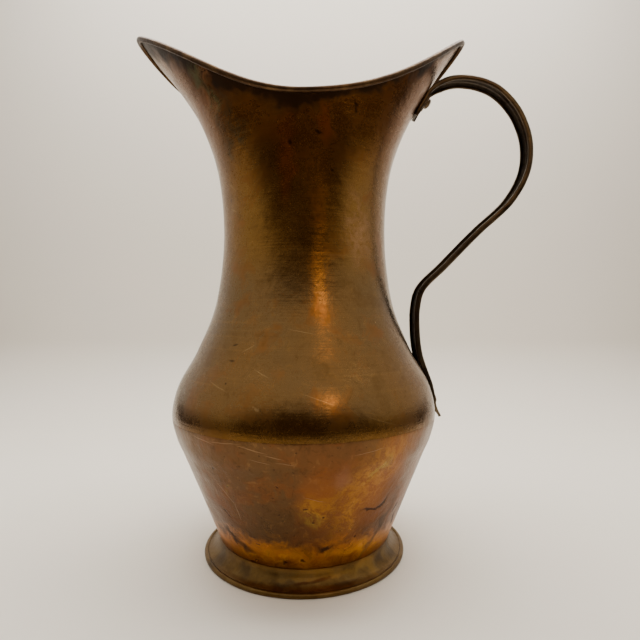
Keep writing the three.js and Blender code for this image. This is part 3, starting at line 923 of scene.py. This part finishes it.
def foot_ring():
    shoulder = CONE_BOTTOM_Z - GAP
    skirt_centre = (CONE_BOTTOM_RADIUS + SKIRT_ARC, shoulder)
    bead_centre = (FOOT_RADIUS - FOOT_BEAD, FOOT_BEAD - FOOT_FLAT)
    under = arc(skirt_centre, SKIRT_ARC + SHEET, 188, SKIRT_END, 12)
    roll = arc(bead_centre, FOOT_BEAD - SHEET, FOOT_ROLL_START, FOOT_ROLL_END, 16)
    bead = arc(bead_centre, FOOT_BEAD, FOOT_ROLL_END, FOOT_ROLL_START, 26)
    skirt = arc(skirt_centre, SKIRT_ARC, SKIRT_END - 4, 180, 14)
    # The skirt's top edge is pressed up against the cone.
    skirt += [(CONE_BOTTOM_RADIUS, CONE_BOTTOM_Z - TOUCHING)]

    def collar(z):
        return outer_radius(z) - NEST

    def section(angle):
        # The foot carries the same hand-made unevenness as the cone above it.
        ripple = FOOT_RIPPLE * (1 + noise.noise(on_cylinder(angle, 0) * 0.05))
        work = hand_work(angle, CONE_BOTTOM_Z)

        def at(point, give):
            return on_cylinder(angle, max(point[1], 0), point[0] - give)

        inside = [(collar(COLLAR_TOP), COLLAR_TOP), (collar(COLLAR_TOP) - SHEET, COLLAR_TOP)]
        inside.append((collar(shoulder) - SHEET, shoulder - SHEET))
        result = [at(point, work) for point in inside]
        result += [at(p, work + (ripple - work) * i / len(under)) for i, p in enumerate(under)]
        result += [at(p, ripple) for p in roll + bead]
        result += [at(p, ripple + (work - ripple) * i / len(skirt)) for i, p in enumerate(skirt)]
        result.append(at((collar(shoulder), CONE_BOTTOM_Z - TOUCHING), work))
        return result

    piece = ring("foot_ring_fine", section, [FOOT])
    stands_for(piece, "foot_ring")


def disc_bottom(share):
    return COLLAR_TOP + GAP + BASE_DOME * (1 - share * share)


DISC_RADIUS = outer_radius(COLLAR_TOP + GAP) - NEST


def base_disc():
    shares = [0.04] + [i / 24 for i in range(2, 24)] + [0.995, 1]

    def outline(angle, share, side):
        work = hand_work(angle, COLLAR_TOP) * share
        point = on_cylinder(angle, 0, DISC_RADIUS * share - work)
        hammer = 0.18 * noise.noise(point * 0.13) * (1 - share**6)
        height = disc_bottom(share) + side * SHEET
        if share == 1:  # a softened edge
            height += 0.12 if side == 0 else -0.12
        return point + Vector((0, 0, height + hammer))

    piece = disc("base_disc_fine", outline, shares, [INSIDE])
    stands_for(piece, "base_disc")


LUMP = 0.2  # how much a fillet swells and shrinks along its length
BRAZE_HEIGHT = 2.4
BASE_SOLDER = (2.6, 2)  # width and height
FOOT_SOLDER = 2


def lumpy_ring(name, corners):
    """A fillet with a three-cornered section, swollen and pinched along its length."""
    middle_r = sum(r for r, _ in corners) / 3
    middle_z = sum(z for _, z in corners) / 3
    points = []
    for i in range(3):
        (r0, z0), (r1, z1) = corners[i], corners[(i + 1) % 3]
        points += [(r0 + (r1 - r0) * t, z0 + (z1 - z0) * t) for t in (0.08, 0.36, 0.64, 0.92)]

    def section(angle):
        work = hand_work(angle, SEAM_Z)
        size = 0.8 + LUMP * noise.noise(on_cylinder(angle, middle_z) * 0.16)
        result = []
        for r, z in points:
            radius = middle_r + (r - middle_r) * size - work
            result.append(on_cylinder(angle, middle_z + (z - middle_z) * size, radius))
        return result

    piece = ring(f"{name}_fine", section, [SOLDER], sharp=80)
    stands_for(piece, name)


def solder_rings():
    top = LIP_BOTTOM - GAP
    bottom = top - BRAZE_HEIGHT
    lumpy_ring("shoulder_seam_braze", [
        (outer_radius(bottom) - LIP_STEP, bottom), (outer_radius(top) - LIP_STEP, top),
        (outer_radius(top) - LIP_STEP - SHEET, top),
    ])
    bottom = disc_bottom(1) + SHEET + GAP
    width, height = BASE_SOLDER
    top = bottom + height
    lumpy_ring("base_seam_solder", [
        (DISC_RADIUS - width, bottom + 0.5), (DISC_RADIUS, bottom), (outer_radius(top) - NEST, top),
    ])
    top = COLLAR_TOP - 0.1
    step = NEST + SHEET + GAP
    lumpy_ring("foot_seam_solder", [
        (outer_radius(top - FOOT_SOLDER) - step, top - FOOT_SOLDER), (outer_radius(top) - step, top),
        (outer_radius(top) - step - FOOT_SOLDER, top),
    ])


# ---- Handle ----

UPPER_FLAT = (17, 32)  # lengths from the upper end between which its flat tab becomes the channel
LOWER_FLAT = (12, 26)  # and from the lower end
CHANNEL_CORNER = 1.9
TAB_CORNER = 0.6
TAB_WALL_RADIUS = 90  # the upper tab is bent to it
TIP_LENGTH = 10  # length over which the channel's sides run out at the lower end
FOLD_POINTS = 3  # points around each folded edge of the channel
TAB_ROWS = 20  # rows of faces on the upper tab, which is dark on both sides


def beside_handle_side(z, distance):
    nr, nz = outward_normal(z)
    return outer_radius(z) - lean(z) + nr * distance, z + nz * distance


def blend(p, q, a, b, t):
    """The point that is p at a and q at b, for t between or beside them."""
    return p * ((b - t) / (b - a)) + q * ((t - a) / (b - a))


def smooth_line(points, steps):
    """Points on the centripetal Catmull-Rom curve through points, evenly many on each stretch."""
    first = tuple(2 * a - b for a, b in zip(points[0], points[1]))
    last = tuple(2 * a - b for a, b in zip(points[-1], points[-2]))
    knots = [Vector(p) for p in [first, *points, last]]
    result = []
    for i in range(1, len(knots) - 2):
        p0, p1, p2, p3 = knots[i - 1:i + 3]
        t0 = 0
        t1 = t0 + (p1 - p0).length ** 0.5
        t2 = t1 + (p2 - p1).length ** 0.5
        t3 = t2 + (p3 - p2).length ** 0.5
        for j in range(steps):
            t = t1 + (t2 - t1) * j / steps
            a1, a2, a3 = blend(p0, p1, t0, t1, t), blend(p1, p2, t1, t2, t), blend(p2, p3, t2, t3, t)
            b1, b2 = blend(a1, a2, t0, t2, t), blend(a2, a3, t1, t3, t)
            result.append(blend(b1, b2, t1, t2, t))
    result.append(knots[-2])
    return result


def eased(value, low, high):
    t = min(max((value - low) / (high - low), 0), 1)
    return t * t * (3 - 2 * t)


def handle_section(width, near_depth, far_depth, sheet, corner, bead):
    """Closed outline of the channel as (across, inwards), open on its inner side, and how many of its
    points lie on the outside. The edges of its two sides are folded in by the size of the bead."""
    half = width / 2
    rounding = min(corner, half * 0.4)
    inner = max(rounding - sheet, 0.25)
    lip = min(0.35, sheet * 0.3)
    thick = sheet + bead
    outside = [(-half, near_depth - lip), (-half, max(near_depth - thick, rounding))]
    outside += arc((-half + rounding, rounding), rounding, 180, 270, 6)
    outside += [(x * (half - rounding) / 2, -0.25 * (1 - (x / 2) ** 2)) for x in (-1, 0, 1)]
    outside += arc((half - rounding, rounding), rounding, 270, 360, 6)
    outside += [(half, max(far_depth - thick, rounding)), (half, far_depth - lip)]
    inside = [(half - lip, far_depth), (half - thick + lip, far_depth), (half - thick, far_depth - lip)]
    inside += [(half - sheet, max(far_depth - thick - lip, sheet))]
    inside += arc((half - sheet - inner, sheet + inner), inner, 0, -90, 4)[1:]
    inside += [(0, sheet - 0.2)]
    inside += arc((-half + sheet + inner, sheet + inner), inner, 270, 180, 4)[:-1]
    inside += [(-half + sheet, max(near_depth - thick - lip, sheet))]
    inside += [(-half + thick, near_depth - lip), (-half + thick - lip, near_depth)]
    inside += [(-half + lip, near_depth)]
    return outside + inside, len(outside)


def room_to_body(x, z):
    """About how far a point beside the handle side of the vessel is from its wall."""
    return (x - outer_radius(z) + lean(z)) * outward_normal(z)[0]


def handle():
    low_z, high_z = UPPER_TAB
    upper = [beside_handle_side(z, 0.2) for z in (low_z, low_z + 8, high_z)]
    lower = [beside_handle_side(z, gap) for z, gap in LOWER_GAPS]
    line = smooth_line(upper + HANDLE_LINE + lower + [HANDLE_TIP], 9)
    lengths = [0]
    for a, b in zip(line, line[1:]):
        lengths.append(lengths[-1] + (b - a).length)
    total = lengths[-1]
    points = []
    for i, (place, run) in enumerate(zip(line, lengths)):
        left = total - run
        ahead, behind = line[min(i + 1, len(line) - 1)], line[max(i - 1, 0)]
        tangent = (ahead - behind).normalized()
        inward = Vector((tangent[1], -tangent[0]))
        # 1 where the strap is hammered flat for a rivet, 0 where it is a channel.
        upper_flat = 1 - eased(run, *UPPER_FLAT)
        lower_flat = 1 - eased(left, *LOWER_FLAT)
        flat = max(upper_flat, lower_flat)
        width = CHANNEL_WIDTH + (TAB_WIDTH - CHANNEL_WIDTH) * flat
        sheet = CHANNEL_SHEET + (TAB_SHEET - CHANNEL_SHEET) * flat
        room = CHANNEL_DEPTH if run < total / 2 else max(room_to_body(*place) - GAP, sheet + 0.05)
        far = min(CHANNEL_DEPTH + (TAB_DEPTH - CHANNEL_DEPTH) * upper_flat, room)
        if left < TIP_LENGTH:
            far = min(far, 0.9 + 0.24 * left)
        near = min(far, NEAR_DEPTH + (TAB_DEPTH - NEAR_DEPTH) * upper_flat)
        corner = CHANNEL_CORNER + (TAB_CORNER - CHANNEL_CORNER) * flat
        # It tapers to a point at its lower end, and only a little at its upper end.
        width *= 0.12 + 0.88 * eased(left, -1.5, 11)
        width *= 0.86 + 0.14 * eased(run, 0, 2)
        hug = 1 - eased(run, 18, 30)
        wander = (HANDLE_INSET + 0.1 * wobble(run * 0.09, 2, 5)) * eased(run, 16, 30)
        section, outer_count = handle_section(width, near, far, sheet, corner, HANDLE_BEAD * (1 - flat))
        for across, inwards in section:
            beaten = 0.16 * flat * wobble(run * 0.3, across * 0.35, 4)
            d = inwards + wander + (beaten if inwards < 0.5 else -beaten)
            x = place[0] + inward[0] * d - hug * across * across / (2 * TAB_WALL_RADIUS)
            z = place[1] + inward[1] * d
            # The whole strap bows a little to one side and the other along its run.
            points.append((x, across + 0.12 * wobble(run * 0.05, 1, 9), z))
    count = len(points) // len(line)
    faces = []
    face_materials = []
    for i in range(len(line) - 1):
        for j in range(count):
            a, b, k = i * count, (i + 1) * count, (j + 1) % count
            faces.append((a + j, a + k, b + k, b + j))
            hollow = outer_count + FOLD_POINTS <= j < count - FOLD_POINTS - 1 and i > TAB_ROWS
            face_materials.append(1 if hollow else 0)
    faces.append(tuple(reversed(range(count))))
    faces.append(tuple(range((len(line) - 1) * count, len(line) * count)))
    face_materials += [0, 0]
    piece = mesh_object("handle_fine", points, faces, [HANDLE, HANDLE_HOLLOW_PAINTED_REFLECTION], face_materials, sharp=55)
    stands_for(piece, "handle")


# ---- Rivets ----

def rivet_place(rivet):
    """Matrix from a rivet's own space, z along its axis, to millimetres around the vessel's axis."""
    nr, nz = outward_normal(rivet["z"])
    seat = beside_handle_side(rivet["z"], 0)
    return Matrix.Translation((seat[0], 0, seat[1])) @ Matrix.Rotation(math.atan2(nr, nz), 4, "Y")


def turned_piece(node, outline_at, rivet, around=40, sharp=60, closed=True):
    """A small ring or solid of revolution on a rivet's axis. outline_at gives its (radius, height)."""
    matrix = rivet_place(rivet)

    def section(angle):
        return [matrix @ on_cylinder(angle, z, r) for r, z in outline_at(angle)]

    piece = ring(f"{node}_fine", section, [RIVET], around=around, sharp=sharp, closed=closed)
    stands_for(piece, node)


TAB_TOP = TAB_CLEARANCE + TAB_SHEET
ROVE_BOTTOM = TAB_TOP + GAP


def rivet_piece(node, rivet, head_face):
    burr_top = -(SHEET + rivet["burr_room"])
    tail_face = burr_top - BURR_THICK - GAP
    bends = [i / 10 * math.pi / 2 for i in range(10)]

    def outline(angle):
        def beaten(radius, z):
            return 0.22 * noise.noise(on_cylinder(angle, z * 0.4, radius * 0.5))

        tail = []
        for bend in reversed(bends):
            radius, z = TAIL_HEAD * math.cos(bend), tail_face - TAIL_RISE * math.sin(bend)
            tail.append((radius * (1 + 0.3 * beaten(radius, z)), z))
        head = []
        for bend in bends:
            radius, z = rivet["head"] * math.cos(bend), head_face + rivet["rise"] * math.sin(bend) ** 0.8
            height = z + beaten(radius, 7) * math.sin(bend) - 0.1
            head.append((radius * (1 + 0.3 * beaten(radius, 3)), height))
        return tail + [(rivet["shank"], tail_face), (rivet["shank"], head_face)] + head

    turned_piece(node, outline, rivet, closed=False)


def burr_piece(node, rivet):
    hole = rivet["shank"] + GAP
    top = -(SHEET + rivet["burr_room"])
    bottom = top - BURR_THICK

    def outline(angle):
        # Clipped by hand, so it is a little three-sided.
        edge = BURR_RADIUS * (0.985 + 0.015 * math.sin(3 * angle + 1))
        return [
            (hole, bottom), (edge - 0.3, bottom), (edge, bottom + 0.3), (edge, top - 0.15),
            (edge - 0.15, top), (hole, top),
        ]

    turned_piece(node, outline, rivet)


def rove_piece():
    """Square plate with softened corners and edges, under the upper rivet's head."""
    hole = UPPER_RIVET["shank"] + GAP
    top = ROVE_BOTTOM + ROVE_THICK
    half = ROVE_SIDE / 2
    power = 9  # high, so that the outline is nearly square

    def outline(angle):
        c, d = abs(math.cos(angle)), abs(math.sin(angle))
        edge = half * (c**power + d**power) ** (-1 / power)
        lift = 0.12 * noise.noise(Vector((math.cos(angle), math.sin(angle), 3)) * 1.5)
        return [
            (hole, ROVE_BOTTOM), (edge - 0.3, ROVE_BOTTOM), (edge, ROVE_BOTTOM + 0.3),
            (edge, top - 0.35 + lift), (edge - 0.35, top - 0.1 + lift), (edge * 0.6, top - 0.08),
            (hole, top - 0.08),
        ]

    turned_piece("upper_rivet_rove", outline, UPPER_RIVET, around=96, sharp=40)


def rivets():
    rivet_piece("upper_rivet", UPPER_RIVET, ROVE_BOTTOM + ROVE_THICK + GAP)
    rivet_piece("lower_rivet", LOWER_RIVET, TAB_TOP + GAP)
    burr_piece("upper_rivet_burr", UPPER_RIVET)
    burr_piece("lower_rivet_burr", LOWER_RIVET)
    rove_piece()


def wires():
    """The wires stay as the CAD model has them, inside the rolled edges, with a rusty finish."""
    for name in ("rim_wire", "foot_wire"):
        mesh = frame["nodes"][name].data
        mesh.materials.clear()
        mesh.materials.append(IRON)


# ---- Camera, stage and lights ----

CAMERA_PLACE = (AXIS_X + 10.56, -331.4, 157.4)
CAMERA_PITCH = 0.52  # degrees below level
CAMERA_LENS = 27


def camera():
    data = bpy.data.cameras.new("camera")
    data.lens = CAMERA_LENS
    data.sensor_width = 36
    data.clip_start = 0.01
    eye = bpy.data.objects.new("camera", data)
    eye.location = [value * MM for value in CAMERA_PLACE]
    eye.rotation_euler = (math.radians(90 - CAMERA_PITCH), 0, 0)
    bpy.context.scene.collection.objects.link(eye)
    bpy.context.scene.camera = eye


def paper():
    """Matt off-white paper, a little uneven."""
    material = bpy.data.materials.new("paper")
    n = Nodes(material)
    place = n.node("ShaderNodeTexCoord").outputs["Object"]
    cloud = n.node("ShaderNodeTexNoise", {"Vector": place, "Scale": 3}).outputs["Fac"]
    shader = n.tree.nodes["Principled BSDF"]
    n.feed(shader.inputs["Base Color"], n.ramp(cloud, [(0, (0.78, 0.735, 0.66)), (1, (0.83, 0.785, 0.71))]))
    n.feed(shader.inputs["Roughness"], 0.7)
    return material


SWEEP_HALF_WIDTH = 520
SWEEP_FRONT = -430
SWEEP_BEND = 300
SWEEP_RADIUS = 120
SWEEP_TOP = 900


def sweep():
    """Paper floor that curves up into a backdrop."""
    profile = [(SWEEP_FRONT, 0), (SWEEP_BEND, 0)]
    profile += arc((SWEEP_BEND, SWEEP_RADIUS), SWEEP_RADIUS, -90, 0, 32)[1:]
    profile.append((SWEEP_BEND + SWEEP_RADIUS, SWEEP_TOP))
    points = []
    for y, z in profile:
        points += [(-SWEEP_HALF_WIDTH, y, z), (SWEEP_HALF_WIDTH, y, z)]
    faces = [(2 * i, 2 * i + 1, 2 * i + 3, 2 * i + 2) for i in range(len(profile) - 1)]
    mesh_object("sweep", points, faces, [paper()], axis_x=0)


def softbox(name, place, aim, size, power, colour):
    data = bpy.data.lights.new(name, "AREA")
    data.shape = "RECTANGLE"
    data.size, data.size_y = size[0] * MM, size[1] * MM
    data.energy = power
    data.color = colour
    lamp = bpy.data.objects.new(name, data)
    place, aim = Vector(place) * MM, Vector(aim) * MM
    lamp.location = place
    lamp.rotation_euler = (aim - place).to_track_quat("-Z", "Y").to_euler()
    bpy.context.scene.collection.objects.link(lamp)


ROOM_BRIGHT = (0.92, 0.86, 0.77)
ROOM_DARK = (0.125, 0.078, 0.042)
SEEN_BACKGROUND = (0.85, 0.80, 0.74)
DARK_FLATNESS = 1.9  # how much flatter than wide the dark part in front is
DARK_EDGE = (0.74, 0.98)  # where the dark part starts to fade and where it has gone
FRONT = (-0.3, 0.1)  # and where it fades on the way round to the backdrop's side
HORIZON = (-0.04, 0.03)  # heights between which the room goes dark below the level of the table


def world():
    """A pale room, dark ahead of the jug and below the table, and plain pale where seen directly."""
    made = bpy.data.worlds.new("room")
    n = Nodes(made)
    direction = n.node("ShaderNodeTexCoord").outputs["Generated"]
    # Distance from straight ahead of the jug, counted more in height, is small in the dark part.
    distance = n.vector("LENGTH", n.vector("MULTIPLY", direction, (1, 0, DARK_FLATNESS)))
    _, y, z = n.axes(direction)
    front = n.between(y, *FRONT, 1.0, 0.0, step="LINEAR")
    ahead = n.times(n.fade(distance, *DARK_EDGE), front)
    dark = n.calc("MAXIMUM", ahead, n.fade(z, *HORIZON))
    room = n.mix(dark, ROOM_BRIGHT, ROOM_DARK)
    seen = n.node("ShaderNodeLightPath").outputs["Is Camera Ray"]
    n.feed(n.tree.nodes["Background"].inputs["Color"], n.mix(seen, room, SEEN_BACKGROUND))
    bpy.context.scene.world = made


WHITE_LIGHT = (1.0, 0.965, 0.905)
WALL_LIGHT = (1.0, 0.97, 0.92)
WARM_LIGHT = (1.0, 0.56, 0.22)


def lights():
    """A large soft light overhead, a strip that brightens the backdrop's top, and one warm lamp."""
    softbox("overhead", (0, 80, 820), (0, 60, 0), (1000, 420), 9.8, WHITE_LIGHT)
    softbox("wall_lamp", (0, 330, 860), (0, 420, 560), (900, 60), 1.6, WALL_LIGHT)
    softbox("window_lamp", (310, -765, 620), (15, -70, 130), (30, 44), 0.62, WARM_LIGHT)


camera()
upper_body()
lower_body()
foot_ring()
base_disc()
solder_rings()
handle()
rivets()
wires()
sweep()
world()
lights()
